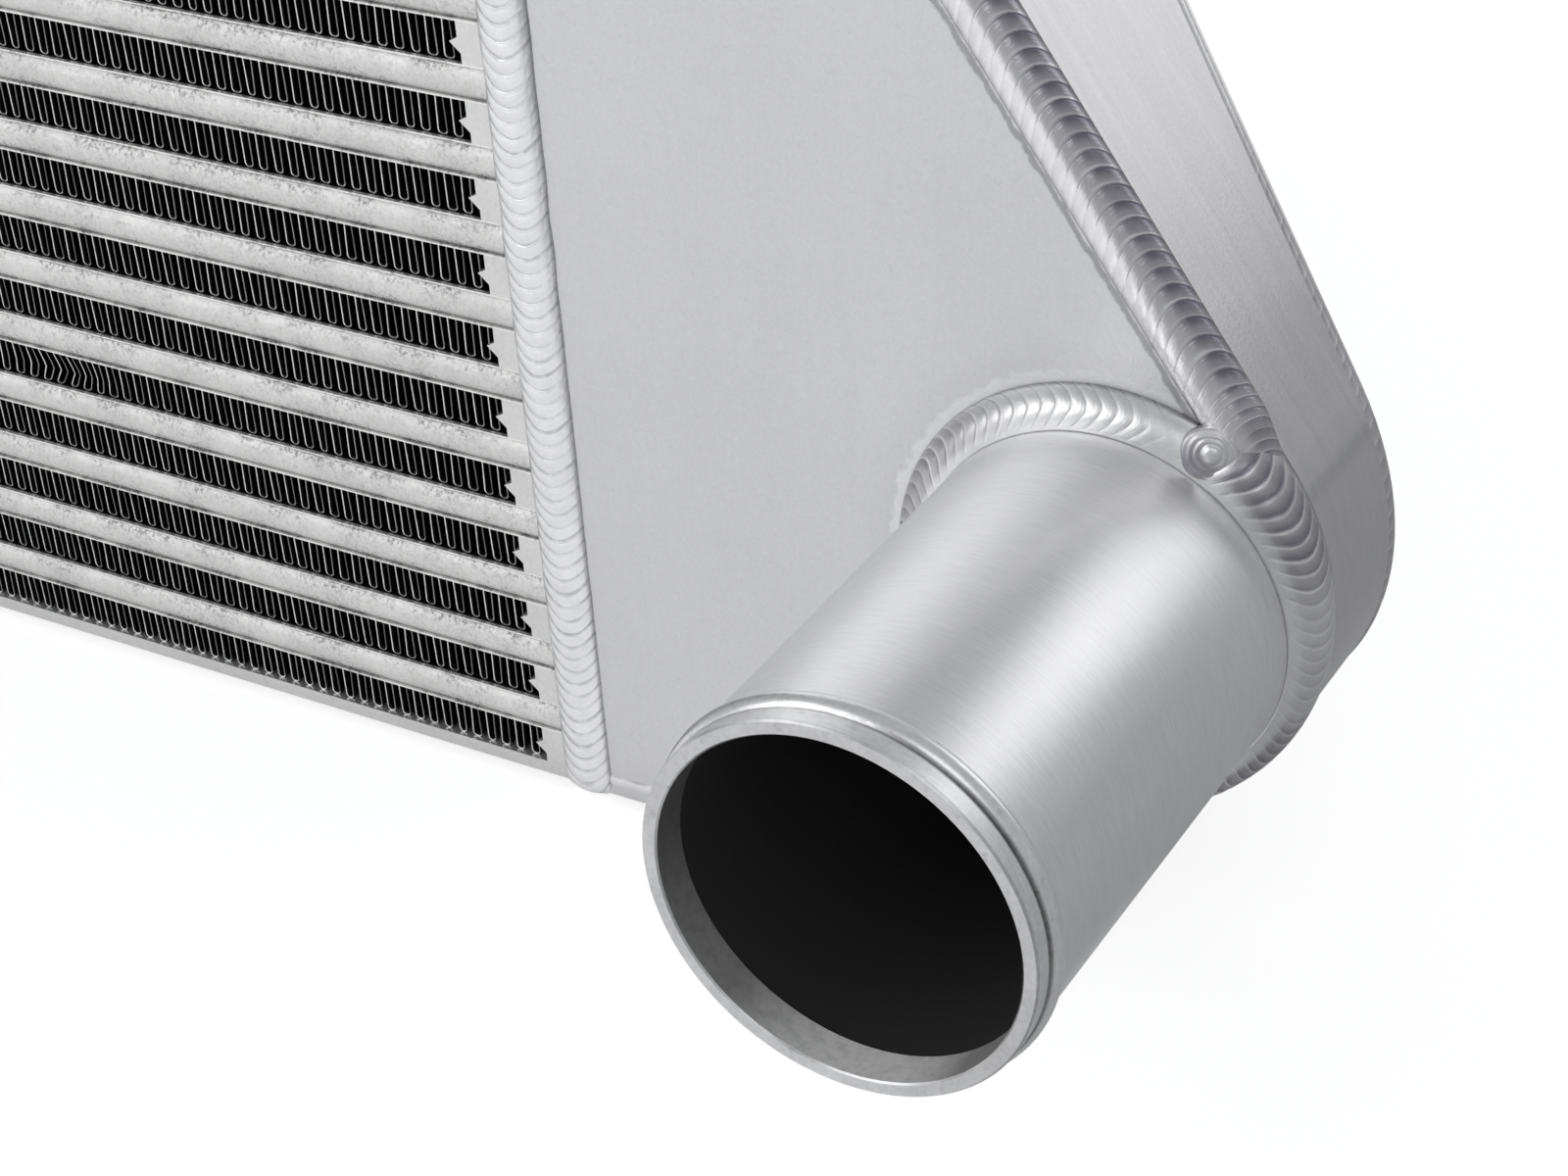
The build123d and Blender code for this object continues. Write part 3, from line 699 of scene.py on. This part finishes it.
def outline_stations(step):
    """Stations down the tank's edge, from the core's top to its foot: (x, z, out x, out z, run)."""
    high, low = (CORE_END + TANK_TOP, TOP_Z), (CORE_END + TANK_FOOT, BASE_Z)
    down, up = tangent_angle(high, 1), tangent_angle(low, -1)
    run = ((low[1] - high[1]) - (low[0] - high[0]) * math.tan(up)) / (math.tan(down) - math.tan(up))
    apex = (high[0] + run, high[1] + run * math.tan(down))
    start, finish = (CORE_END, TOP_Z), (CORE_END, BASE_Z)
    corners = [(start, high, apex, TOP_BEND), (high, apex, low, SHOULDER[2]), (apex, low, finish, FOOT_BEND)]
    at, out = Vector(start), []
    legs = []
    for before, corner, after, radius in corners:
        centre, arc_start, arc_end = corner_arc(before, corner, after, radius)
        legs.append(("line", at.copy(), arc_start))
        legs.append(("arc", centre, arc_start, arc_end, radius))
        at = arc_end
    legs.append(("line", at.copy(), Vector(finish)))
    total = 0.0
    for leg in legs:
        if leg[0] == "line":
            a, b = leg[1], leg[2]
            length = (b - a).length
            direction = (b - a).normalized()
            normal = Vector((-direction.y, direction.x))
            count = max(1, round(length / step))
            for i in range(count):
                p = a + (b - a) * i / count
                out.append((p.x, p.y, normal.x, normal.y, total + length * i / count))
        else:
            centre, a, b, radius = leg[1:]
            a0 = math.atan2((a - centre).y, (a - centre).x)
            a1 = math.atan2((b - centre).y, (b - centre).x)
            while a1 > a0:
                a1 -= 2 * math.pi
            length = radius * (a0 - a1)
            count = max(2, round(length / step))
            for i in range(count):
                t = a0 + (a1 - a0) * i / count
                n = Vector((math.cos(t), math.sin(t)))
                p = centre + n * radius
                out.append((p.x, p.y, n.x, n.y, total + length * i / count))
        total += length
    out.append((finish[0], finish[1], 0.0, -1.0, total))
    return out


# ---- rippled weld beads ------------------------------------------------------------------------
# distance between stations along a bead, and the steps across each kind of bead
BEAD_STEP = 0.42
CORE_SECTION, EDGE_SECTION, RING_SECTION = 14, 18, 18


def waver(run, rate, seed):
    """Slow unevenness along a bead, the same each time."""
    return noise.noise(Vector((run * rate, seed, 0.0)))


def puddle_place(run, bow, pitch, seed):
    """How many puddles have been laid at a point of a bead, whose edges lie ahead of the run by bow."""
    return (run + bow) / pitch + 0.25 * waver(run, 0.04, seed)


def scallop(place):
    """Share of full height at a place: a low dome between two seams."""
    phase = place - math.floor(place)
    return (4 * phase * (1 - phase)) ** 0.5


def bead_piece(name, sections, places, closed, laps=0):
    """Skin rings of points into a bead; laps is the number of puddles once round a closed one.

    The last point of each ring closes it below the surface.
    """
    count = len(sections[0])
    rings = len(sections)
    verts = [p for ring in sections for p in ring]
    faces, uvs = [], []

    def corner(r, i):
        lap, r = divmod(r, rings)
        across = i / (count - 2) if i < count - 1 else 0.0
        return places[r][min(i, count - 2)] + lap * laps, across

    for r in range(rings if closed else rings - 1):
        a, b = r * count, ((r + 1) % rings) * count
        for i in range(count):
            j = (i + 1) % count
            faces.append((a + i, a + j, b + j, b + i))
            uvs += [corner(r, i), corner(r, j), corner(r + 1, j), corner(r + 1, i)]
    if not closed:
        faces.append(tuple(range(count))[::-1])
        uvs += [corner(0, i) for i in range(count)][::-1]
        faces.append(tuple((rings - 1) * count + i for i in range(count)))
        uvs += [corner(rings - 1, i) for i in range(count)]
    piece = mesh_piece(name, verts, faces)
    layer = piece.data.uv_layers.new(name="bead")
    for slot, uv in zip(layer.data, uvs):
        slot.uv = uv
    return piece


def rounded_rectangle(low, high, radius, step):
    """Stations round a rectangle in the YZ plane: (y, z, out y, out z, run)."""
    corners = [((low[0] + radius, high[1] - radius), 90, 180), ((low[0] + radius, low[1] + radius), 180, 270),
               ((high[0] - radius, low[1] + radius), 270, 360), ((high[0] - radius, high[1] - radius), 0, 90)]
    out, total = [], 0.0
    for i, (centre, a0, a1) in enumerate(corners):
        length = math.radians(90) * radius
        count = max(2, round(length / step))
        for k in range(count):
            t = math.radians(a0 + (a1 - a0) * k / count)
            out.append((centre[0] + radius * math.cos(t), centre[1] + radius * math.sin(t),
                        math.cos(t), math.sin(t), total + length * k / count))
        total += length
        following = corners[(i + 1) % 4][0]
        t = math.radians(a1)
        a = (centre[0] + radius * math.cos(t), centre[1] + radius * math.sin(t))
        b = (following[0] + radius * math.cos(t), following[1] + radius * math.sin(t))
        length = math.hypot(b[0] - a[0], b[1] - a[1])
        count = max(1, round(length / step))
        for k in range(count):
            s = k / count
            y, z = a[0] + (b[0] - a[0]) * s, a[1] + (b[1] - a[1]) * s
            out.append((y, z, math.cos(t), math.sin(t), total + length * s))
        total += length
    return out


# core weld: half width, crown, corner radius, length of a puddle, and how far its edges bow downwards
CORE_WELD_HALF = 6.15
CORE_WELD_CROWN = 2.5
CORE_WELD_CORNER = 3.0
CORE_PUDDLE = 3.3
CORE_BOW = -4.3


def finish_bead(piece, material, nodes, ripple, tint_and_shade):
    """Paint how rippled and how tinted a bead is, point by point, then finish it."""
    paint(piece, "ripple", ripple)
    paint(piece, "weld_tint_and_shade", tint_and_shade)
    finish_piece(piece, material, "weld_bead", *nodes)


def core_weld(side):
    """The bead round the joint of core and tank, its puddles bowing downwards on the front."""
    sign = 1 if side == "right" else -1
    stations = rounded_rectangle((FRONT_Y, BASE_Z), (REAR_Y, TOP_Z), CORE_WELD_CORNER, BEAD_STEP)
    total = stations[-1][4] + BEAD_STEP
    laps = round(total / CORE_PUDDLE)
    pitch = total / laps
    sections, places, ripple = [], [], []
    for y, z, ny, nz, run in stations:
        width = CORE_WELD_HALF * (1 + 0.045 * waver(run, 0.11, 5.0))
        shift = 0.25 * waver(run, 0.09, 15.0)
        ring, row = [], []
        for i in range(CORE_SECTION + 1):
            u = -1 + 2 * i / CORE_SECTION
            dome = 1 - u * u
            place = puddle_place(run, CORE_BOW * dome, pitch, 3.0)
            swell = 0.965 + 0.035 * waver(math.floor(place), 7.7, 25.0)
            height = CORE_WELD_CROWN * swell * dome ** 0.60 * (0.86 + 0.12 * scallop(place)) - 0.04
            x = CORE_END + shift * dome + u * width
            ring.append((sign * x, y + ny * height, z + nz * height))
            row.append(place)
            ripple.append(1.0)
        ring.append((sign * CORE_END, y - ny, z - nz))
        ripple.append(1.0)
        sections.append(ring)
        places.append(row)
    piece = bead_piece(f"core_weld_bead_{side}", sections, places, True, laps)
    finish_bead(piece, CORE_BEAD, [f"core_weld_{side}"], ripple, [0.0] * len(ripple))


# heights between which the diagonal bead ends in a patch of fine ripples beside the crater, and their length
PATCH_TOP, PATCH_END = 136.5, 121.0
PATCH_PUDDLE = 2.3

# edge beads: where they start beside the core, and the (radius, inset) of the front one on the slope and at
# the foot, and of the rear one
EDGE_WELD_START = 2.0
SLOPE_BEAD = (5.9, 3.4)
FOOT_BEAD = (4.2, 3.9)
BACK_BEAD = (2.9, 2.6)


def front_bead_section(z, past):
    """Radius, inset and fullness of the front bead: full on the slope, low under the ring and at the foot."""
    full = 0.0 if past else ease(PATCH_END, PATCH_END + 11, z)
    radius, inset = (low + (high - low) * full for low, high in zip(FOOT_BEAD, SLOPE_BEAD))
    return radius, inset, full


def rear_bead_section(z, past):
    """Radius, inset and fullness of the rear bead, the same all along."""
    return *BACK_BEAD, 0.0


def tint_of(x, full):
    """How tinted the front bead is, with a tint partly of hot metal and partly painted shade: strongly on the
    slope, less beside the ring, not at all at the foot.
    """
    return max(0.95 * full, 0.5 * ease(PORT_X - 5.0, PORT_X + 15.0, x))


def edge_weld(side, name, nodes, material, lean, plane_y, facing, pitch, bow, section):
    """A bead along one edge of the tank; facing is -1 at the front and 1 at the rear."""
    sign = 1 if side == "right" else -1
    sections, places, ripple, tint_and_shade = [], [], [], []
    fine = 0.0
    past = False
    last_run = 0.0
    for x, z, nx, nz, run in outline_stations(BEAD_STEP):
        if x < CORE_END + EDGE_WELD_START:
            continue
        past = past or z < PATCH_END
        radius, inset, full = section(z, past)
        in_patch = facing < 0 and PATCH_END < z < PATCH_TOP and not past
        fine += (run - last_run) * (1.0 / PATCH_PUDDLE - 1.0 / pitch) if in_patch else 0.0
        last_run = run
        corner = Vector((x, plane_y - math.tan(lean) * (x - CORE_END), z))
        out = Vector((nx, 0.0, nz))
        face = Vector((math.sin(lean), facing * math.cos(lean), 0.0))
        shared = out.dot(face)
        centre = corner - (out + face) * inset / (1 + shared)
        across = (face - out * shared).normalized()
        half = math.acos(max(-1, min(1, shared))) / 2
        spread = half + math.pi / 2 - math.asin(inset / radius) + 0.06
        ring, row = [], []
        for i in range(EDGE_SECTION + 1):
            v = 1 - 2 * i / EDGE_SECTION
            turn = half + spread * v
            behind = bow * (0.6 * math.sin(spread * v) ** 2 + 0.4 * (1 - math.cos(spread * v)))
            place = puddle_place(run - behind, 0.0, pitch, 9.0) + fine
            r = radius * (0.985 + 0.012 * full * (1 - v * v) * scallop(place))
            p = centre + out * r * math.cos(turn) + across * r * math.sin(turn)
            ring.append((sign * p.x, p.y, p.z))
            row.append(place)
            ripple.append(0.45 + 0.55 * full)
            # one half of the bead across is tinted, partly the tint of hot metal and partly painted shade
            # where that half would mirror dark surroundings
            tint_and_shade.append(ease(0.34, 0.56, i / EDGE_SECTION) * (0.8 if in_patch else tint_of(x, full)))
        ring.append((sign * centre.x, centre.y, centre.z))
        ripple.append(1.0)
        tint_and_shade.append(0.0)
        sections.append(ring)
        places.append(row)
    piece = bead_piece(f"{name}_{side}", sections, places, False)
    finish_bead(piece, material, nodes, ripple, tint_and_shade)


def rim_reach(turn):
    """Distance from the port's axis to the tank's edge, in a direction near the shoulder."""
    to_port = Vector((PORT_X - SHOULDER[0], PORT_Z - SHOULDER[1]))
    way = Vector((math.cos(turn), math.sin(turn)))
    b = to_port.dot(way)
    reach = -b + math.sqrt(b * b - to_port.length_squared + SHOULDER[2] ** 2)
    hit = to_port + way * reach
    bearing = math.atan2(hit.y, hit.x)
    for limit, beyond in ((SLOPE, bearing > SLOPE), (FOOT_SLOPE, bearing < FOOT_SLOPE)):
        wall = Vector((math.cos(limit), math.sin(limit)))
        if beyond and way.dot(wall) > 0.05:
            reach = (SHOULDER[2] - to_port.dot(wall)) / way.dot(wall)
    return reach


# ring round the port: how far its toes lie out on the sheet and up on the tube, its puddles, their bow and
# the radius at which they are counted; away from the shoulder the tank's rim counts as out of reach
TOE_OUT, TOE_UP = 7.4, 5.5
RING_PUDDLES = 86
STATIONS_PER_PUDDLE = 8
RING_BOW = 4.6
RING_RUN = PORT_RADIUS + 3.7
FAR_RIM = 99.0


def ring_heat(angle):
    """How tinted the ring is, by degrees from the outer side: most on from the crater and low down."""
    hot = 0.85 * ease(4, 30, angle) * (1 - ease(56, 63, angle))
    if angle < 56:
        hot = max(hot, 0.25, 0.85 * ease(-8, -36, angle) if angle < 0 else 0.0)
    return max(hot, 0.66 * ease(105, 150, angle), 0.66 if angle < -100 else 0.0)


def ring_clearness(angle):
    """How clear the ring's ripples are: smeared just past the crater, and fainter on the outer side."""
    smeared = 0.85 * ease(62, 68, angle) * (1 - ease(74, 80, angle))
    faint = 0.6 * ease(-62, -50, angle) * (1 - ease(6, 22, angle))
    return 1 - max(smeared, faint)


def port_weld(side):
    """The bead round the root of the port, which runs over the tank's edge where the shoulder is close."""
    sign = 1 if side == "right" else -1
    pitch = 2 * math.pi * RING_RUN / RING_PUDDLES
    around = RING_PUDDLES * STATIONS_PER_PUDDLE
    sections, places, ripple, tint_and_shade = [], [], [], []
    for k in range(around):
        turn = 2 * math.pi * k / around
        run = turn * RING_RUN
        angle = math.degrees(turn) if turn < math.pi else math.degrees(turn) - 360
        rim = rim_reach(turn) if -100 < angle < 100 else FAR_RIM
        # 0 where the ring lies on the open sheet, 1 where it runs over the rim
        over = 1 - ease(2.6, 7.0, rim - PORT_RADIUS - TOE_OUT)
        toe = PORT_RADIUS + TOE_OUT + (rim + 0.1 - PORT_RADIUS - TOE_OUT) * over
        low = -6.0 * over
        slant = math.hypot(toe - PORT_RADIUS, TOE_UP - low)
        corner = abs((PORT_RADIUS - toe) * -low - (TOE_UP - low) * (rim - toe)) / slant
        crown = max(1.9 + 0.6 * over, over * (corner + 0.5) / 0.9)
        hot, clear = ring_heat(angle), ring_clearness(angle)
        ring, row = [], []
        for i in range(RING_SECTION + 1):
            share = i / RING_SECTION
            v = -1 + 2 * share
            dome = 1 - v * v
            place = (run + RING_BOW * dome) / pitch
            lively = (1 - over + over * ease(0.10, 0.40, share)) * (1 - ease(0.87, 0.94, share)) * clear
            swell = crown * dome ** (0.8 + 0.5 * max(0.0, v)) * (0.94 + 0.05 * lively * scallop(place))
            r = toe + (PORT_RADIUS - toe) * share + swell * (TOE_UP - low) / slant
            up = low + (TOE_UP - low) * share + swell * (toe - PORT_RADIUS) / slant - 0.05
            ring.append((sign * (PORT_X + r * math.cos(turn)), FRONT_Y - up, PORT_Z + r * math.sin(turn)))
            row.append(place)
            ripple.append(lively)
            tint_and_shade.append(hot * ease(0.0, 0.14, share) * (1 - ease(0.74, 0.88, share)))
        root = PORT_RADIUS - 0.5
        ring.append((sign * (PORT_X + root * math.cos(turn)), FRONT_Y + 0.5, PORT_Z + root * math.sin(turn)))
        ripple.append(0.0)
        tint_and_shade.append(0.0)
        sections.append(ring)
        places.append(row)
    piece = bead_piece(f"port_weld_bead_{side}", sections, places, True, RING_PUDDLES)
    finish_bead(piece, RING_BEAD, [f"port_weld_{side}"], ripple, tint_and_shade)


# crater: its middle, the way it faces, and its frozen rings as (radius, rise)
CRATER_PLACE = (428.6, 0.6, 125.4)
CRATER_AXIS = (0.25, -0.93, 0.22)
CRATER_SPOKES = 64
CRATER_RINGS = [
    (0.0, 2.15), (0.7, 2.14), (1.3, 2.0), (1.7, 1.66), (1.95, 1.44), (2.2, 1.46),
    (2.6, 1.58), (2.9, 1.46), (3.15, 1.22), (3.4, 1.24), (3.75, 1.30), (4.1, 1.10),
    (4.35, 0.92), (4.7, 0.93), (5.05, 0.75), (5.35, 0.2), (5.5, -1.6),
]


def end_crater(side):
    """Round spot where the welder stopped, on the meeting of the edge bead and the ring."""
    sign = 1 if side == "right" else -1
    centre = Vector(CRATER_PLACE)
    axis = Vector(CRATER_AXIS).normalized()
    east = axis.cross(Vector((0, 0, 1))).normalized()
    north = east.cross(axis)
    verts, tint_and_shade = [], []
    for radius, rise in CRATER_RINGS:
        for k in range(CRATER_SPOKES):
            t = 2 * math.pi * k / CRATER_SPOKES
            r = radius * (1 + 0.03 * math.sin(2 * t + 0.7) + 0.02 * math.sin(5 * t + radius))
            # the rings sit off centre, the innermost the most
            off = 0.85 * (1 - radius / CRATER_RINGS[-1][0])
            p = centre + east * (r * math.cos(t) - off) + north * (r * math.sin(t) + off) + axis * rise
            verts.append((sign * p.x, p.y, p.z))
            tint_and_shade.append(ease(1.4, 2.2, radius) * (0.30 + 0.6 * ease(-0.3, 1.0, math.cos(t + 0.7))))
    faces = []
    for r in range(len(CRATER_RINGS) - 1):
        for k in range(CRATER_SPOKES):
            a, b = r * CRATER_SPOKES + k, r * CRATER_SPOKES + (k + 1) % CRATER_SPOKES
            faces.append((a, a + CRATER_SPOKES, b + CRATER_SPOKES, b))
    faces.append(tuple((len(CRATER_RINGS) - 1) * CRATER_SPOKES + k for k in range(CRATER_SPOKES)))
    piece = mesh_piece(f"weld_crater_{side}", verts, faces)
    layer = piece.data.uv_layers.new(name="bead")
    for slot in layer.data:
        slot.uv = (0.5, 0.5)
    finish_bead(piece, RING_BEAD, [], [0.0] * len(verts), tint_and_shade)


def face_outwards():
    """Make every new piece's faces look outwards."""
    for piece in [o for o in bpy.context.scene.objects if o.type == "MESH" and "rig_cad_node" not in o]:
        shape = bmesh.new()
        shape.from_mesh(piece.data)
        bmesh.ops.recalc_face_normals(shape, faces=shape.faces)
        shape.to_mesh(piece.data)
        shape.free()


for side in ("right", "left"):
    core_weld(side)
    edge_weld(side, "front_edge_bead", [f"front_edge_weld_{side}"], EDGE_BEAD,
              lean=0.0, plane_y=FRONT_Y, facing=-1, pitch=3.5, bow=4.9, section=front_bead_section)
    edge_weld(side, "rear_edge_bead", [f"rear_edge_weld_{side}"], REAR_BEAD,
              lean=REAR_LEAN, plane_y=REAR_Y, facing=1, pitch=3.4, bow=2.4, section=rear_bead_section)
    port_weld(side)
    end_crater(side)
face_outwards()

# ---- finishes of the CAD nodes -----------------------------------------------------------------
FINISHES = {
    "fin_row": FINS, "charge_passage": BARS, "end_bars": PLATES, "side_plate": PLATES,
    "tank_front": SHEET, "tank_rear": SHEET, "tank_wrap": WRAP, "port_tube": TUBE,
    "core_weld": CORE_BEAD, "front_edge_weld": EDGE_BEAD, "rear_edge_weld": REAR_BEAD, "port_weld": RING_BEAD,
}
for node_name, node in frame["nodes"].items():
    for prefix, material in FINISHES.items():
        if node_name.startswith(prefix):
            node.data.materials.clear()
            node.data.materials.append(material)


# ---- studio, in metres -------------------------------------------------------------------------
FLOOR_HALF = 6.0
LAMP_AIM = (0.36, 0.0, 0.12)

# camera: frame, lens and view axis in pixels, place in millimetres, and its ways right, down and forward
FRAME_WIDTH, FRAME_HEIGHT = 1600, 1200
SENSOR_WIDTH = 36.0
FOCAL_LENGTH = 3302.845
VIEW_AXIS = (760, 760)
CAMERA_PLACE = (630.3425, -468.1217, 424.3161)
CAMERA_RIGHT = (0.85933113, 0.50735203, -0.06437342)
CAMERA_DOWN = (0.24834451, -0.5240059, -0.81470413)
CAMERA_FORWARD = (-0.44707384, 0.68411384, -0.57629267)


def pale_floor():
    """White floor that keeps the object's shadow; metal shows it as a painted reflection, glowing in front
    and greyer beyond the port and behind.
    """
    mesh = bpy.data.meshes.new("floor")
    corners = [(-FLOOR_HALF, -FLOOR_HALF, 0), (FLOOR_HALF, -FLOOR_HALF, 0),
               (FLOOR_HALF, FLOOR_HALF, 0), (-FLOOR_HALF, FLOOR_HALF, 0)]
    mesh.from_pydata(corners, [], [(0, 1, 2, 3)])
    floor = bpy.data.objects.new("floor", mesh)
    bpy.context.scene.collection.objects.link(floor)
    material = bpy.data.materials.new("floor_white")
    material.use_nodes = True
    n = Nodes(material.node_tree)
    shader = material.node_tree.nodes["Principled BSDF"]
    shader.inputs["Roughness"].default_value = 0.9
    shader.inputs["Specular IOR Level"].default_value = 0.1
    rays = n.add("ShaderNodeLightPath")
    seen = n.math("MULTIPLY", rays.outputs["Is Camera Ray"], 0.62)
    outwards, behind = n.split(n.add("ShaderNodeTexCoord").outputs["Object"])[:2]
    # seen only in metal, a painted reflection: the floor glows in front and turns greyer beyond the port and
    # behind
    away = n.math("MAXIMUM", n.remap(outwards, 0.38, 0.46), n.remap(behind, -0.02, 0.03))
    glow = n.math("MULTIPLY", n.math("SUBTRACT", 1.0, away), 0.40)
    mirrored = n.math("MULTIPLY", rays.outputs["Is Glossy Ray"], glow)
    dim = n.math("MULTIPLY", away, rays.outputs["Is Glossy Ray"])
    n.join(n.mix_colour(dim, (0.8, 0.8, 0.8), (0.66, 0.66, 0.66)), shader.inputs["Base Color"])
    shader.inputs["Emission Color"].default_value = (1, 1, 1, 1)
    n.join(n.math("ADD", seen, mirrored), shader.inputs["Emission Strength"])
    floor.data.materials.append(material)


def soft_world():
    """Grey studio that lights the object and shows in its metal, with a white background for the camera."""
    world = bpy.data.worlds.new("studio")
    bpy.context.scene.world = world
    world.use_nodes = True
    n = Nodes(world.node_tree)
    background = world.node_tree.nodes["Background"]
    rays = n.add("ShaderNodeLightPath")
    colour = n.mix_colour(rays.outputs["Is Glossy Ray"], (0.40, 0.405, 0.41), (0.43, 0.435, 0.44))
    colour = n.mix_colour(rays.outputs["Is Camera Ray"], colour, (1.0, 1.0, 1.0))
    n.join(colour, background.inputs["Color"])
    background.inputs["Strength"].default_value = 1.0


def softbox(name, azimuth, elevation, distance, width, height, brightness):
    """A lamp round the port, at a bearing from +Y towards +X; brightness is that of its face in metal."""
    a, e = math.radians(azimuth), math.radians(elevation)
    away = Vector((math.sin(a) * math.cos(e), math.cos(a) * math.cos(e), math.sin(e)))
    light = bpy.data.lights.new(name, "AREA")
    light.shape = "RECTANGLE"
    light.size = width
    light.size_y = height
    light.energy = brightness * math.pi * width * height
    lamp = bpy.data.objects.new(name, light)
    lamp.location = Vector(LAMP_AIM) + away * distance
    lamp.rotation_euler = (-away).to_track_quat("-Z", "Y").to_euler()
    bpy.context.scene.collection.objects.link(lamp)


def front_camera():
    """Camera that looks at the right-hand port and tank from the front, the outer side and above."""
    camera = bpy.data.cameras.new("camera")
    camera.sensor_width = SENSOR_WIDTH
    camera.lens = FOCAL_LENGTH / FRAME_WIDTH * SENSOR_WIDTH
    camera.shift_x = (FRAME_WIDTH / 2 - VIEW_AXIS[0]) / FRAME_WIDTH
    camera.shift_y = (VIEW_AXIS[1] - FRAME_HEIGHT / 2) / FRAME_WIDTH
    camera.clip_start = 0.02
    view = bpy.data.objects.new("camera", camera)
    turn = Matrix((CAMERA_RIGHT, -Vector(CAMERA_DOWN), -Vector(CAMERA_FORWARD))).transposed().to_4x4()
    view.matrix_world = Matrix.Translation(Vector(CAMERA_PLACE) * MM) @ turn
    bpy.context.scene.collection.objects.link(view)
    bpy.context.scene.camera = view


pale_floor()
soft_world()
softbox("back_right", 26, 25.5, 1.6, 0.80, 0.86, 0.81)
softbox("back_left", -35, 28, 1.6, 0.60, 0.60, 0.80)
softbox("front_left", -142, 24, 1.8, 1.3, 1.2, 1.36)
softbox("front_right", 150, 40, 1.8, 0.9, 0.9, 0.8)
front_camera()
bpy.context.scene.view_settings.view_transform = "Standard"
